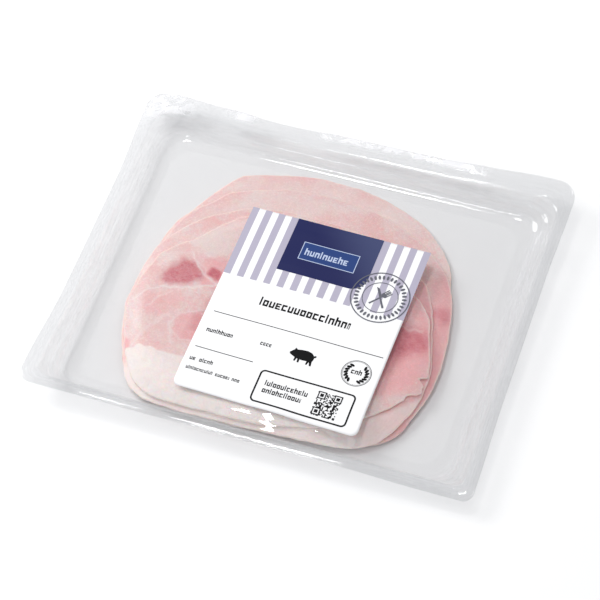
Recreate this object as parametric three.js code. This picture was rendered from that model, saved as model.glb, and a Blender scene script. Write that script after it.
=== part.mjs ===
// A sealed pack of sliced cooked ham, in millimetres, +Z up.
//
// A clear thermoformed tray with its well downwards rests on its flat floor. Four thin oval slices
// lie fanned in the well, each pushed a little further forward than the one below it. A clear film
// is sealed over the tray's flange and bulges over the ham, and a paper label is stuck on the film.
// X runs along the pack's long side, -Y is the front, and the origin is under the middle of the floor.
import * as THREE from 'three';

// ---- driving dimensions --------------------------------------------------------------------
const PACK = { width: 200, depth: 166 };
const CORNER_RADII = [10, 9, 6, 4.5]; // back right, back left, front left, front right
const FLANGE_Z = 10;                 // top face of the flange
const TRAY_WALL = 0.6;
const FLANGE = { left: 6, right: 5.5, front: 5.6, back: 10.5 };       // flange width on each side
const FLOOR_INSET = { left: 12.5, right: 13, front: 9.5, back: 16 };   // outer edge to the floor's rim
const LEDGE = { outer: 0.42, inner: 0.58, high: 5.8, low: 5.4 };       // step half way down the wall
const EDGE_PULL = { left: 2, right: 0.8, front: 0, back: 3.2 };        // how far each edge pulls in
const PULL_RUN = 0.3;                // share of an edge over which it pulls in from its corner
const TWIST = 1.8;                   // the thin flange twists: back right and front left lift by this
const FLANGE_PULL = 0.35;            // share of the pull that is left at the flange's inner edge
const RIM_ROUND = 0.8;               // rounding at the top and the foot of the well's wall
const FOOT_WIDEN = 2;                // the well's corners are rounder by this at the foot
const GAP = 0.3;                     // clearance between pieces that touch

const FILM = { thickness: 0.4, rise: 1.5 };
const FILM_RUN = { left: 22, right: 22, front: 9, back: 24 };   // how far in the bulge is full
const LABEL = { width: 82, depth: 97, cornerRadius: 3, thickness: 0.3, x: 6.3, y: -18.6, turn: -0.026 };

const SLICE_THICKNESS = 1.8;
const SLICE_EDGE = 0.3;              // share of a slice's thickness by which its edges are rounded
const DRAPE = { start: 2, end: 16 };  // a slice sinks between these distances past an edge below it
// Outlines from the lowest slice to the top one, anticlockwise from the right.
const SLICE_OUTLINES = [
  [[66, -24], [64.5, -4], [60.5, 18], [54.5, 32], [36.7, 50.2], [19.2, 57.3], [2.4, 60.4], [-18.6, 60],
    [-42.5, 54.1], [-55.5, 40.1], [-66.1, 21.1], [-69.5, 3.5], [-69, -16], [-60, -46], [-38, -62],
    [0, -66], [36, -64], [57, -50]],
  [[68.4, -23.1], [66.2, -1.4], [59.4, 20.8], [46.1, 34.9], [22.4, 47.1], [-1.3, 50.7], [-21.1, 50],
    [-47.3, 41.2], [-61.6, 25.9], [-68.5, 8], [-70.5, -16], [-64, -42], [-50, -61], [-26, -69], [0, -70.5],
    [36, -69], [52, -65], [60, -58.3], [66.4, -39.4]],
  [[65.3, -25.8], [62.6, -15.1], [58.3, -0.4], [52.5, 12.6], [40, 25], [5, 36], [-36.5, 33.7],
    [-51.5, 25.2], [-62.2, 13.9], [-70.5, -6], [-72.6, -25], [-68, -43.8], [-59.6, -62.7], [-49.8, -71],
    [-25.5, -73.8], [0, -74.3], [36, -72], [51, -67], [61.5, -51], [65.2, -36]],
  [[65, -27.7], [60, -10.4], [55.4, 1.1], [47.5, 8.5], [28, 21], [5, 30], [-20, 32.5], [-36.2, 28.1],
    [-52.4, 10.8], [-66.3, -3.8], [-69.7, -15.8], [-70.6, -29], [-66, -44.5], [-59, -60], [-46, -70.5],
    [-20, -73], [8, -72], [34, -66], [47.4, -55.3], [57.7, -45], [63.5, -37.5]],
];

const CORNER_STEPS = 6;              // facets of each rounded corner
const SIDE_STEPS = 12;               // facets of each pack edge
const LABEL_SIDE_STEPS = 5;
const SLICE_POINTS = 60;
const SLICE_RINGS = [1, 0.975, 0.93, 0.86, 0.76, 0.6, 0.35];
const FILM_RINGS = [0.04, 0.09, 0.15, 0.26, 0.45, 0.7];
const LABEL_RINGS = [0.25, 0.55];

// ---- shared shapes -------------------------------------------------------------------------
const NO_INSET = { left: 0, right: 0, front: 0, back: 0 };

const smooth = (t) => {
  const clamped = Math.min(1, Math.max(0, t));
  return clamped * clamped * (3 - 2 * clamped);
};

// The flange's twist, full at the flange and none at the floor.
function twistAt(x, y, z) {
  const share = Math.min(1, Math.max(0, (z - TRAY_WALL) / (FLANGE_Z - TRAY_WALL)));
  return TWIST * share * (x / (PACK.width / 2)) * (y / (PACK.depth / 2));
}

// A rounded rectangle as a loop of [x, y], anticlockwise, with a radius for each corner in the order
// of CORNER_RADII; pulls draws each side in from its corners.
function roundedLoop(box, radii, sideSteps, pulls = NO_INSET) {
  const corners = [
    { x: box.right - radii[0], y: box.back - radii[0], radius: radii[0], from: 0, side: 'back' },
    { x: box.left + radii[1], y: box.back - radii[1], radius: radii[1], from: 0.5, side: 'left' },
    { x: box.left + radii[2], y: box.front + radii[2], radius: radii[2], from: 1, side: 'front' },
    { x: box.right - radii[3], y: box.front + radii[3], radius: radii[3], from: 1.5, side: 'right' },
  ];
  const around = (corner, angle) => [
    corner.x + corner.radius * Math.cos(angle), corner.y + corner.radius * Math.sin(angle),
  ];
  const inward = { back: [0, -1], left: [1, 0], front: [0, 1], right: [-1, 0] };
  const loop = [];
  corners.forEach((corner, index) => {
    for (let step = 0; step <= CORNER_STEPS; step++) {
      loop.push(around(corner, Math.PI * (corner.from + 0.5 * step / CORNER_STEPS)));
    }
    const start = loop[loop.length - 1];
    const next = corners[(index + 1) % corners.length];
    const end = around(next, Math.PI * next.from);
    const [inX, inY] = inward[corner.side];
    for (let step = 1; step < sideSteps; step++) {
      const t = step / sideSteps;
      const pull = pulls[corner.side] * smooth(Math.min(t, 1 - t) / PULL_RUN);
      loop.push([
        start[0] + (end[0] - start[0]) * t + inX * pull,
        start[1] + (end[1] - start[1]) * t + inY * pull,
      ]);
    }
  });
  return loop;
}

function shrinkLoop(loop, centre, share) {
  return loop.map(([x, y]) => [centre[0] + (x - centre[0]) * share, centre[1] + (y - centre[1]) * share]);
}

// Closes two stacks of loops, each running from the outer rim to a middle point, into one solid.
function closedShell(upperLoops, upperMiddle, lowerLoops, lowerMiddle) {
  const positions = [];
  const triangles = [];
  const count = upperLoops[0].length;
  const addLoops = (loops, middle) => {
    const starts = loops.map((loop) => {
      const start = positions.length / 3;
      loop.forEach((point) => positions.push(...point));
      return start;
    });
    positions.push(...middle);
    return { starts, middle: positions.length / 3 - 1 };
  };
  const stitch = (outerStart, innerStart, flip) => {
    for (let i = 0; i < count; i++) {
      const j = (i + 1) % count;
      const quad = [outerStart + i, outerStart + j, innerStart + j, innerStart + i];
      if (flip) quad.reverse();
      triangles.push(quad[0], quad[1], quad[2], quad[0], quad[2], quad[3]);
    }
  };
  const cap = ({ starts, middle }, flip) => {
    for (let k = 0; k + 1 < starts.length; k++) stitch(starts[k], starts[k + 1], flip);
    const last = starts[starts.length - 1];
    for (let i = 0; i < count; i++) {
      const fan = [last + i, last + ((i + 1) % count), middle];
      if (flip) fan.reverse();
      triangles.push(...fan);
    }
  };
  const upper = addLoops(upperLoops, upperMiddle);
  const lower = addLoops(lowerLoops, lowerMiddle);
  cap(upper, false);
  cap(lower, true);
  stitch(upper.starts[0], lower.starts[0], true);
  const geometry = new THREE.BufferGeometry();
  geometry.setAttribute('position', new THREE.Float32BufferAttribute(positions, 3));
  geometry.setIndex(triangles);
  geometry.computeVertexNormals();
  return geometry;
}

// A thin sheet over loops of [x, y], between two height functions.
function sheet(loops, centre, upperZ, lowerZ) {
  const lift = (height) => loops.map((loop, ring) => loop.map(([x, y]) => [x, y, height(x, y, ring)]));
  const inner = loops.length;
  return closedShell(
    lift(upperZ), [centre[0], centre[1], upperZ(...centre, inner)],
    lift(lowerZ), [centre[0], centre[1], lowerZ(...centre, inner)],
  );
}

// ---- the tray ------------------------------------------------------------------------------
const packBox = (inset) => ({
  left: -PACK.width / 2 + inset.left,
  right: PACK.width / 2 - inset.right,
  front: -PACK.depth / 2 + inset.front,
  back: PACK.depth / 2 - inset.back,
});
const widened = (inset, extra) => Object.fromEntries(
  Object.entries(inset).map(([side, value]) => [side, value + extra]),
);
const wallInset = (share) => Object.fromEntries(
  Object.keys(FLANGE).map((side) => [side, FLANGE[side] + (FLOOR_INSET[side] - FLANGE[side]) * share]),
);

function packLoop(inset, pullShare, widen = 0) {
  const pulls = Object.fromEntries(Object.entries(EDGE_PULL).map(([side, pull]) => [side, pull * pullShare]));
  return roundedLoop(packBox(inset), CORNER_RADII.map((radius) => radius + widen), SIDE_STEPS, pulls);
}

// The tray's inner face from its edge to the middle of the floor, and its outer face, which lies
// outward and lower by about the wall.
function tray() {
  const levels = [
    { inset: NO_INSET, z: FLANGE_Z, pull: 1, widen: 0, outward: 0, drop: 1 },
    { inset: FLANGE, z: FLANGE_Z, pull: FLANGE_PULL, widen: 0, outward: 0.4, drop: 1 },
    {
      inset: widened(FLANGE, RIM_ROUND), z: FLANGE_Z - RIM_ROUND, pull: 0.3, widen: 0, outward: 1, drop: 0.6,
    },
    { inset: wallInset(LEDGE.outer), z: LEDGE.high, pull: 0.15, widen: 1, outward: 1, drop: 0.6 },
    { inset: wallInset(LEDGE.inner), z: LEDGE.low, pull: 0.1, widen: 1, outward: 1, drop: 0.6 },
    {
      inset: widened(FLOOR_INSET, -RIM_ROUND), z: TRAY_WALL + RIM_ROUND, pull: 0, widen: FOOT_WIDEN,
      outward: 1, drop: 0.6,
    },
    {
      inset: widened(FLOOR_INSET, RIM_ROUND), z: TRAY_WALL, pull: 0, widen: FOOT_WIDEN,
      outward: 0.4, drop: 1,
    },
  ];
  const loopAt = ({ inset, z, pull, widen }, outward, drop) => {
    const height = z - drop * TRAY_WALL;
    return packLoop(widened(inset, -outward * TRAY_WALL), pull, widen)
      .map(([x, y]) => [x, y, height + twistAt(x, y, height)]);
  };
  const inner = levels.map((level) => loopAt(level, 0, 0));
  const outer = levels.map((level) => loopAt(level, level.outward, level.drop));
  return closedShell(inner, [0, 0, TRAY_WALL], outer, [0, 0, 0]);
}

// ---- the film and the label ----------------------------------------------------------------
// Under face of the film: flat on the flange, bulging over the ham.
function filmUnderside(x, y) {
  const box = packBox(FLANGE);
  const inside = { left: x - box.left, right: box.right - x, front: y - box.front, back: box.back - y };
  const rise = Object.entries(inside).reduce(
    (share, [side, distance]) => share * smooth(distance / FILM_RUN[side]), FILM.rise,
  );
  return FLANGE_Z + GAP + twistAt(x, y, FLANGE_Z) + rise;
}

function lidFilm() {
  const rim = packLoop(NO_INSET, 1);
  const flangeEdge = packLoop(FLANGE, FLANGE_PULL);
  const inner = FILM_RINGS.map((share) => shrinkLoop(flangeEdge, [0, 0], 1 - share));
  return sheet([rim, flangeEdge, ...inner], [0, 0],
    (x, y) => filmUnderside(x, y) + FILM.thickness, filmUnderside);
}

function label() {
  const box = {
    left: -LABEL.width / 2, right: LABEL.width / 2, front: -LABEL.depth / 2, back: LABEL.depth / 2,
  };
  const radii = CORNER_RADII.map(() => LABEL.cornerRadius);
  const turned = roundedLoop(box, radii, LABEL_SIDE_STEPS).map(([x, y]) => [
    LABEL.x + x * Math.cos(LABEL.turn) - y * Math.sin(LABEL.turn),
    LABEL.y + x * Math.sin(LABEL.turn) + y * Math.cos(LABEL.turn),
  ]);
  const centre = [LABEL.x, LABEL.y];
  const loops = [0, ...LABEL_RINGS].map((share) => shrinkLoop(turned, centre, 1 - share));
  const underside = (x, y) => filmUnderside(x, y) + FILM.thickness + GAP;
  return sheet(loops, centre, (x, y) => underside(x, y) + LABEL.thickness, underside);
}

// ---- the slices ----------------------------------------------------------------------------
const sliceLoops = SLICE_OUTLINES.map((outline) => {
  const curve = new THREE.CatmullRomCurve3(outline.map(([x, y]) => new THREE.Vector3(x, y, 0)), true);
  return curve.getSpacedPoints(SLICE_POINTS).slice(0, SLICE_POINTS).map((point) => [point.x, point.y]);
});

function middleOf(loop) {
  return [0, 1].map((axis) => loop.reduce((sum, point) => sum + point[axis], 0) / loop.length);
}

// How far a point lies outside a loop, negative inside.
function distanceOutside(loop, x, y) {
  let nearest = Infinity;
  let inside = false;
  loop.forEach(([ax, ay], index) => {
    const [bx, by] = loop[(index + 1) % loop.length];
    const along = ((x - ax) * (bx - ax) + (y - ay) * (by - ay)) / ((bx - ax) ** 2 + (by - ay) ** 2);
    const t = Math.min(1, Math.max(0, along));
    nearest = Math.min(nearest, Math.hypot(x - ax - t * (bx - ax), y - ay - t * (by - ay)));
    if ((ay > y) !== (by > y) && x < ax + (bx - ax) * (y - ay) / (by - ay)) inside = !inside;
  });
  return inside ? -nearest : nearest;
}

// Height at which a slice lies, on the slices below it and sinking past their edges.
function restingHeight(sliceIndex, x, y) {
  const lower = sliceLoops.slice(0, sliceIndex);
  return lower.reduce((height, loop) => {
    const past = (distanceOutside(loop, x, y) - DRAPE.start) / (DRAPE.end - DRAPE.start);
    return height + (SLICE_THICKNESS + GAP) * (1 - smooth(past));
  }, TRAY_WALL + GAP);
}

function hamSlice(index) {
  const centre = middleOf(sliceLoops[index]);
  const loops = SLICE_RINGS.map((share) => shrinkLoop(sliceLoops[index], centre, share));
  const edgeRound = SLICE_THICKNESS * SLICE_EDGE;
  const under = (x, y, ring) => restingHeight(index, x, y) + (ring === 0 ? edgeRound : 0);
  const upper = (x, y, ring) => restingHeight(index, x, y) + SLICE_THICKNESS - (ring === 0 ? edgeRound : 0);
  return sheet(loops, centre, upper, under);
}

// ---- materials and the pack ----------------------------------------------------------------
const clearPlastic = (name) => new THREE.MeshStandardMaterial({
  name, color: 0xe6e8ea, roughness: 0.08, metalness: 0, transparent: true, opacity: 0.3,
});
const hamMeat = () => new THREE.MeshStandardMaterial({
  name: 'cooked_ham', color: 0xe2a29c, roughness: 0.45,
});
const labelPaper = new THREE.MeshStandardMaterial({ name: 'label_paper', color: 0xf4f4f6, roughness: 0.6 });

const pack = new THREE.Group();
function addMesh(name, geometry, material) {
  const mesh = new THREE.Mesh(geometry, material);
  mesh.name = name;
  pack.add(mesh);
}

addMesh('tray', tray(), clearPlastic('tray_plastic'));
SLICE_OUTLINES.forEach((outline, index) => addMesh(`ham_slice_${index + 1}`, hamSlice(index), hamMeat()));
addMesh('lid_film', lidFilm(), clearPlastic('film_plastic'));
addMesh('label', label(), labelPaper);

export default pack;
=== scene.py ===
"""A sealed pack of sliced cooked ham: clear tray, fanned slices, lidding film and a printed label."""

import math
from functools import partial

import bmesh
import bpy
import numpy as np
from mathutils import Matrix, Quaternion, Vector


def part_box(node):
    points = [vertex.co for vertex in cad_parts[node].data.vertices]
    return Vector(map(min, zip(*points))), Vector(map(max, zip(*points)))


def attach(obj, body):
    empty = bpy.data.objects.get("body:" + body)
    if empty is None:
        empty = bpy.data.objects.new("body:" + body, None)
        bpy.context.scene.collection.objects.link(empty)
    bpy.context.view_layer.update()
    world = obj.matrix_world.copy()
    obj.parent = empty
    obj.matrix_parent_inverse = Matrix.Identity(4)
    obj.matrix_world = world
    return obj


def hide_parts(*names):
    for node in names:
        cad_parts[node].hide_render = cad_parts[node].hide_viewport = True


bl_info = {
    "name": "Sliced ham pack",
    "version": (1, 0, 0),
    "blender": (4, 5, 0),
    "location": "3D View > Sidebar > Ham pack",
    "description": "Makes a sealed tray of sliced cooked ham with its film, label and studio",
    "category": "Add Mesh",
}

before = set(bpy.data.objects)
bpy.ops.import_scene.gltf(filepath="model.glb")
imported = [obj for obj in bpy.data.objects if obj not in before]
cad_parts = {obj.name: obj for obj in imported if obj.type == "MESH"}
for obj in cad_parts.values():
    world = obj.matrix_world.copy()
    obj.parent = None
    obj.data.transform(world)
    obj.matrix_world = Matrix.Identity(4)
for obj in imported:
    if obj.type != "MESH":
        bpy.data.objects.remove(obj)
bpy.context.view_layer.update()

MM = 0.001
TRAY_LOW, TRAY_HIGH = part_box("tray")
LABEL_LOW, LABEL_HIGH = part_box("label")
HALF_WIDTH = (TRAY_HIGH.x - TRAY_LOW.x) / 2
HALF_DEPTH = (TRAY_HIGH.y - TRAY_LOW.y) / 2
LABEL_CENTRE = ((LABEL_LOW.x + LABEL_HIGH.x) / 2, (LABEL_LOW.y + LABEL_HIGH.y) / 2)

SIDES = ("left", "right", "front", "back")
FLANGE_WIDTH = dict(left=6 * MM, right=5.5 * MM, front=5.6 * MM, back=10.5 * MM)
FLOOR_INSET = dict(left=12.5 * MM, right=13 * MM, front=9.5 * MM, back=16 * MM)
EDGE_PULL = dict(left=2 * MM, right=0.8 * MM, front=0.0, back=3.2 * MM)
FILM_RUN = dict(left=22 * MM, right=22 * MM, front=24 * MM, back=24 * MM)
HAM_CENTRE, HAM_REACH = (-1 * MM, -11 * MM), (70 * MM, 67 * MM)
PULL_RUN = 0.3            # share of an edge over which it pulls in from its corner
CORNER_RADII = (10 * MM, 9 * MM, 6 * MM, 4.5 * MM)   # back right, back left, front left, front right
FLANGE_TWIST = 1.8 * MM
HAM_GAP, SLICE_GAP, FILM_GAP, LABEL_GAP = 0.35 * MM, 0.03 * MM, 0.02 * MM, 0.03 * MM   # air below each
CORNER_STEPS = 14
SIDE_STEPS = 120

# The tray's section from the cut edge inwards: distance in, height and rounding in millimetres, on a
# side whose flange and wall are both SECTION_UNIT wide.
SECTION_UNIT = 6.0
TRAY_SECTION = [
    (0.0, 9.85, 0.0), (0.3, 10.0, 0.13), (1.6, 10.0, 0.34), (2.3, 10.12, 0.34), (3.0, 10.0, 0.34),
    (6.0, 10.0, 1.0), (8.3, 5.6, 0.5), (9.3, 5.1, 0.5), (11.8, 0.6, 3.6), (19.0, 0.6, 0.0),
]
SECTION_FLOOR, SECTION_TOP = 0.6, 10.0
SECTION_ROUND_STEPS = 5
FLOOR_CORNER_RADIUS = 10.5 * MM

SLICE_OUTLINES = [  # millimetres, anticlockwise from the right, the lowest slice first
    [(66, -24), (65, -4), (60.5, 18), (56.5, 30.4), (47.5, 41.8), (36.7, 50.2), (19.2, 57.3), (2.4, 60.4),
     (-18.6, 60), (-42.5, 54.1), (-48.8, 49.9), (-55.5, 40.1), (-62.2, 28), (-66.1, 21.1), (-68.7, 12.3),
     (-69.5, 3.5), (-69.5, -12), (-64, -34), (-56, -50), (-38, -62), (0, -66), (36, -64), (57, -50)],
    [(68.4, -23.1), (67.9, -14.3), (66.2, -1.4), (63.6, 10.2), (59.4, 20.8), (54.3, 27.3), (46.1, 34.9),
     (35.8, 41.2), (22.4, 47.1), (14.1, 48.9), (-1.3, 50.7), (-21.1, 50), (-34.8, 46.1), (-47.3, 41.2),
     (-54.6, 33.5), (-61.6, 25.9), (-66.5, 14), (-69, 0), (-69.5, -20), (-63, -42), (-52, -59), (-30, -68),
     (0, -70), (36, -68), (52, -65), (60, -58.3), (63.4, -49.6), (66.4, -39.4), (67.8, -32.7)],
    [(65.3, -25.8), (62.6, -15.1), (60.1, -6.8), (58.3, -0.4), (55.8, 6.1), (52.5, 12.6), (47.4, 18.7),
     (28, 30), (5, 36), (-20, 36.5), (-36.5, 33.7), (-42, 30.9), (-51.5, 25.2), (-58.5, 18.7), (-62.2, 13.9),
     (-65.3, 9.4), (-68.5, 4), (-71, -6), (-72.4, -25), (-70.8, -33.8), (-68, -43.8), (-64.3, -52.7),
     (-59.6, -62.7), (-55.7, -67.5), (-49.8, -71), (-42.7, -72.6), (-25.5, -73.7), (0, -73.5), (36, -71.5),
     (50, -67), (57, -60), (61.5, -51), (64.5, -42), (65.2, -34.1)],
    [(65, -27.7), (62.5, -18.1), (60, -10.4), (57.7, -2.5), (55.4, 1.1), (51.5, 5.4), (47.5, 8.5), (30, 20),
     (5, 31), (-20, 33), (-36.2, 28.1), (-40.1, 24.6), (-45.4, 19.7), (-52.4, 10.8), (-58.5, 5.7),
     (-64.3, -0.1), (-66.3, -3.8), (-69.7, -15.8), (-71, -28), (-68, -40), (-64, -50), (-60, -58), (-54, -66),
     (-45, -70.5), (-30, -72), (0, -72), (20, -69), (36, -64), (47.4, -55.3), (52.5, -50.7), (57.7, -45),
     (60.5, -40), (65, -38.1), (63.6, -31.8)],
]
SLICE_TEAR = (63.5, -36.0, 9.0)        # middle and reach of the torn edge of the top slice, millimetres
DRAPE_START, DRAPE_END = -5 * MM, 12 * MM
EDGE_TAPER = 6 * MM                    # the slices thin out over this towards their edges

# What shows on each slice, in millimetres: kind of tissue, outline, softness of its border, strength.
FRONT_FAT = [(-62, -58), (-40, -61), (0, -62), (38, -63), (48, -80), (-52, -80)]
SLICE_PATCHES = {
    0: [("fat", FRONT_FAT, 6, 0.8),
        ("pink", [(60, 20), (70, 10), (72, -40), (62, -50), (58, 0)], 8, 0.3),
        ("pale", [(-50, 44), (-20, 56), (20, 54), (40, 42), (20, 40), (-20, 44)], 8, 0.55)],
    1: [("fat", FRONT_FAT, 6, 0.8),
        ("pale", [(-58, 22), (-44, 38), (-22, 46), (4, 46), (-10, 36), (-40, 24)], 7, 0.5),
        ("deep", [(57.2, 4.4), (60.2, 7.4), (64.5, 7), (66.1, 1.2), (61.2, -0.5)], 6, 0.6),
        ("deep", [(55, -8), (62, -8), (66, -24), (64, -40), (58, -40)], 6, 0.25),
        ("pink", [(52, 22), (66, 16), (72, -20), (68, -46), (60, -58), (52, -40), (56, -6)], 7, 0.65)],
    2: [("fat", FRONT_FAT, 6, 0.85),
        ("fat", [(36, -62), (47.8, -55.1), (59.2, -44.4), (64.7, -39.7), (65.4, -44.6), (62.5, -57.1),
                 (52.7, -70.9), (36, -74)], 3, 0.55),
        ("pink", [(40, 30), (50, 22), (60, 6), (66, -14), (68, -44), (60, -60), (50, -50), (44, 8)], 6, 0.7),
        ("pink", [(60.6, -58.6), (62, -50.4), (63.2, -41.8), (66.1, -36.5), (66.1, -50), (62, -60)],
         2.5, 0.6),
        ("deep", [(54, 6), (58, 2), (61, -8), (56, -8)], 4, 0.35)],
    3: [
        ("deep", [(-60.7, -13.5), (-59.3, -9.8), (-57.5, -5.9), (-54, -2.6), (-48.6, -2.2), (-44.9, -6),
                  (-42.6, -8.7), (-47.3, -13.4), (-53.8, -15.9), (-58.5, -15.6)], 4.5, 0.85),
        ("deep", [(-41.8, -5.1), (-40.5, -3), (-37.6, -3.3), (-36.1, -5), (-35.8, -8.3), (-38.5, -8.5),
                  (-40.9, -7.6)], 1.8, 1.0),
        ("pink", [(-45.3, -1.2), (-42.3, 2), (-34, 1.3), (-31.7, -12.4), (-36.8, -13.9), (-42.9, -11.7)],
         5, 0.75),
        ("pale", [(-55.9, 7.6), (-51.4, 15.1), (-43, 20.7), (-34, 25.6), (-28, 14), (-34, 8.1), (-41.8, 3.2),
                  (-49.2, 4.4)], 3.5, 0.85),
        ("pink", [(-46.8, -31.2), (-42.6, -28.9), (-34, -28.8), (-32, -39), (-40.8, -42.3), (-45.5, -38.4)],
         3, 0.6),
        ("deep", [(-39.6, -35.6), (-39.5, -28.7), (-37.5, -24), (-36.8, -17.5), (-31, -24), (-31, -36)],
         4, 0.4),
        ("pink", [(-66, -26), (-60, -22), (-50, -19), (-44, -22), (-50, -27), (-60, -34)], 6, 0.4),
        ("fat", [(-62.4, -52.5), (-58.4, -50.3), (-54.9, -49.8), (-48.9, -50.1), (-43.7, -51.7),
                 (-38.3, -50.6), (-15.3, -51.6), (16.2, -52.6), (40, -53.6), (48, -58), (20, -80),
                 (-50, -80), (-66, -70)], 1.3, 0.95),
        # Along the label's right edge the deep patches are darker muscle with the label's shadow painted in,
        # red as shade in ham is.
        ("deep", [(40, -6), (50.2, -8.2), (54.5, -8.2), (60.3, -11.2), (60.6, -16.9), (54.4, -21.6),
                  (48, -24), (40, -24)], 8, 0.85),
        ("pale", [(46.1, -4.6), (49.7, -2.7), (54.2, -6.2), (49.4, -9.6)], 3.5, 0.3),
        ("pink", [(36, 18), (48, 10), (58, 0), (64, -14), (64, -28), (58, -40), (42, -44), (40, -10)],
         9, 0.8),
        # Painted shadow of the label, with darker muscle, fading away from its right edge.
        ("deep", [(41, -8), (48, -10), (52, -22), (46, -36), (41, -40)], 8, 0.6),
        ("pink", [(-66.8, -48.3), (-64.2, -46.8), (-61.5, -50.2), (-62.7, -57.6), (-67, -58)], 1.6, 0.9),
    ],
}
# Seams of connective tissue on each slice: line, width of its soft profile and strength.
SLICE_SEAMS = {
    0: [([(-30, 51), (-28, 48), (-22, 46)], 0.5, 0.4)],
    1: [([(-48, 30), (-40, 36), (-30, 38)], 0.7, 0.35), ([(-58, 14), (-50, 20), (-44, 22)], 0.6, 0.3)],
    2: [([(-60, 6), (-52, 14), (-44, 22), (-38, 28)], 0.7, 0.4)],
    3: [
        ([(-68.4, -27.4), (-65.4, -23.2), (-60.3, -19.5), (-56.2, -18.2), (-47.7, -16.2), (-38.5, -12.4),
          (-34.8, -10.5)], 0.5, 0.85),
        ([(-52, 2), (-49, -1.2), (-45.1, -5.5), (-43.2, -7.6), (-39.7, -8.9), (-35.8, -11)], 0.55, 0.7),
        ([(-47.5, -2.2), (-43.6, -3.6), (-42.2, -7.4)], 0.45, 0.5),
        ([(-61.2, -30.7), (-57.8, -23.7), (-53.3, -19.6)], 0.45, 0.6),
        ([(-48.4, -35.5), (-46.3, -30), (-42.1, -27.7), (-37, -25)], 0.45, 0.6),
        ([(-48.8, -36.1), (-46.9, -40), (-44.8, -45.1)], 0.6, 0.55),
        ([(-46.7, -38.8), (-40.8, -42.4), (-36, -41.7)], 0.5, 0.5),
        ([(-60.5, -50.2), (-57.5, -41.4), (-53.5, -34.6), (-51, -32)], 1.1, 0.5),
        ([(-63.5, -8), (-58, 0), (-50, 3.6), (-41, 2.6)], 0.8, 0.3),
        ([(-46, -20), (-45, -25), (-46.5, -29)], 0.4, 0.35),
        ([(46.5, -8.5), (51, -9.6), (56, -8.2)], 0.5, 0.4),
    ],
}
TISSUES = ("deep", "pink", "pale", "fat", "seam", "rim")

LABEL_RINGS = 40
LABEL_SIDE_STEPS = 60
PRINT_STEP = 2.5 * MM                  # grid on which flat print is split before it is laid on the label
PRINT_LIFT = 0.04 * MM


# ---- colours and properties ----------------------------------------------------------------
def linear(hex_colour):
    """sRGB hex to linear RGBA."""
    channels = [int(hex_colour[i:i + 2], 16) / 255 for i in (1, 3, 5)]
    return [c / 12.92 if c <= 0.04045 else ((c + 0.055) / 1.055) ** 2.4 for c in channels] + [1.0]


def colour(name, hex_colour, description):
    return bpy.props.FloatVectorProperty(name=name, description=description, subtype="COLOR", size=4,
                                         min=0, max=1, default=linear(hex_colour))


def length(name, default, description):
    return bpy.props.FloatProperty(name=name, description=description, default=default, unit="LENGTH")


class HamPackSizes(bpy.types.PropertyGroup):
    flange_height: length("Flange height", 10 * MM, "Height of the flange's top face above the surface")
    tray_wall: length("Tray wall", 0.45 * MM, "Thickness of the thermoformed sheet")
    film_thickness: length("Film thickness", 0.14 * MM, "Thickness of the lidding film")
    film_rise: length("Film rise", 1.5 * MM, "Height of the film over the ham above the flange")
    slice_thickness: length("Slice thickness", 1.9 * MM, "Thickness of one slice of ham")
    label_width: length("Label width", 82 * MM, "Width of the label")
    label_depth: length("Label depth", 97 * MM, "Depth of the label")
    label_radius: length("Label corner radius", 3 * MM, "Radius of the label's die-cut corners")
    label_thickness: length("Label thickness", 0.15 * MM, "Thickness of the label with its adhesive")
    label_turn: bpy.props.FloatProperty(name="Label turn", description="Turn of the label on the pack",
                                        default=-0.026, unit="ROTATION")
    # The first and the last of the fourteen stripes meet the label's edges.
    stripe_pitch: length("Stripe pitch", 82 / 13.5 * MM, "Distance from one printed stripe to the next")
    stripe_depth: length("Stripe depth", 36.8 * MM, "Length of the printed stripes")


class HamPackColours(bpy.types.PropertyGroup):
    muscle: colour("Muscle", "#EEC0BD", "Cured lean meat")
    muscle_pale: colour("Pale muscle", "#F0D8D4", "Paler, milder cured meat")
    muscle_pink: colour("Pink muscle", "#F3ABAE", "Stronger cured meat")
    # Also used to paint the label's shadow on the top slice.
    muscle_deep: colour("Deep muscle", "#CC6774", "Dark cured muscle")
    fat: colour("Fat", "#F9E9E5", "Fat and fat rim")
    seam: colour("Seam", "#F7E3E0", "Connective tissue between muscles")
    rim: colour("Rim", "#FBE0D8", "Outer edge of a slice")
    paper: colour("Paper", "#F5F5F6", "Coated label paper")
    lavender: colour("Stripe ink", "#B2ADBF", "Printed stripes")
    navy: colour("Panel ink", "#101850", "Printed panel")
    # Painted reflection: the panel ink's colour where the studio is mirrored in it.
    navy_painted_sheen: colour("Panel sheen", "#3C446C", "Panel where the light grazes it")
    panel_blue: colour("Panel field ink", "#1F3C78", "Field inside the panel's frame")
    panel_line: colour("Panel line ink", "#B9C6E0", "Thin frame in the panel")
    black: colour("Black ink", "#0E0E10", "Printed words and lines")
    grey: colour("Stamp ink", "#5F606A", "Printed stamp")
    floor: colour("Floor", "#FAFAFA", "Studio floor")


def pack_sizes():
    return bpy.context.scene.ham_pack_sizes


def pack_colours():
    return bpy.context.scene.ham_pack_colours


# ---- shared shapes -------------------------------------------------------------------------
def smooth(t):
    t = np.clip(t, 0, 1)
    return t * t * (3 - 2 * t)


def ripple(x, y, wavelength, seed, waves=7):
    """Gentle seeded waves of about one size, in the range of -1 to 1 or a little more."""
    rng = np.random.default_rng(seed)
    total = 0.0
    for _ in range(waves):
        heading, phase = rng.uniform(0, math.tau, 2)
        per_metre = math.tau / (wavelength * rng.uniform(0.7, 1.5))
        total = total + np.sin(per_metre * (x * math.cos(heading) + y * math.sin(heading)) + phase)
    return total / math.sqrt(waves) * 0.8


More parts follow.
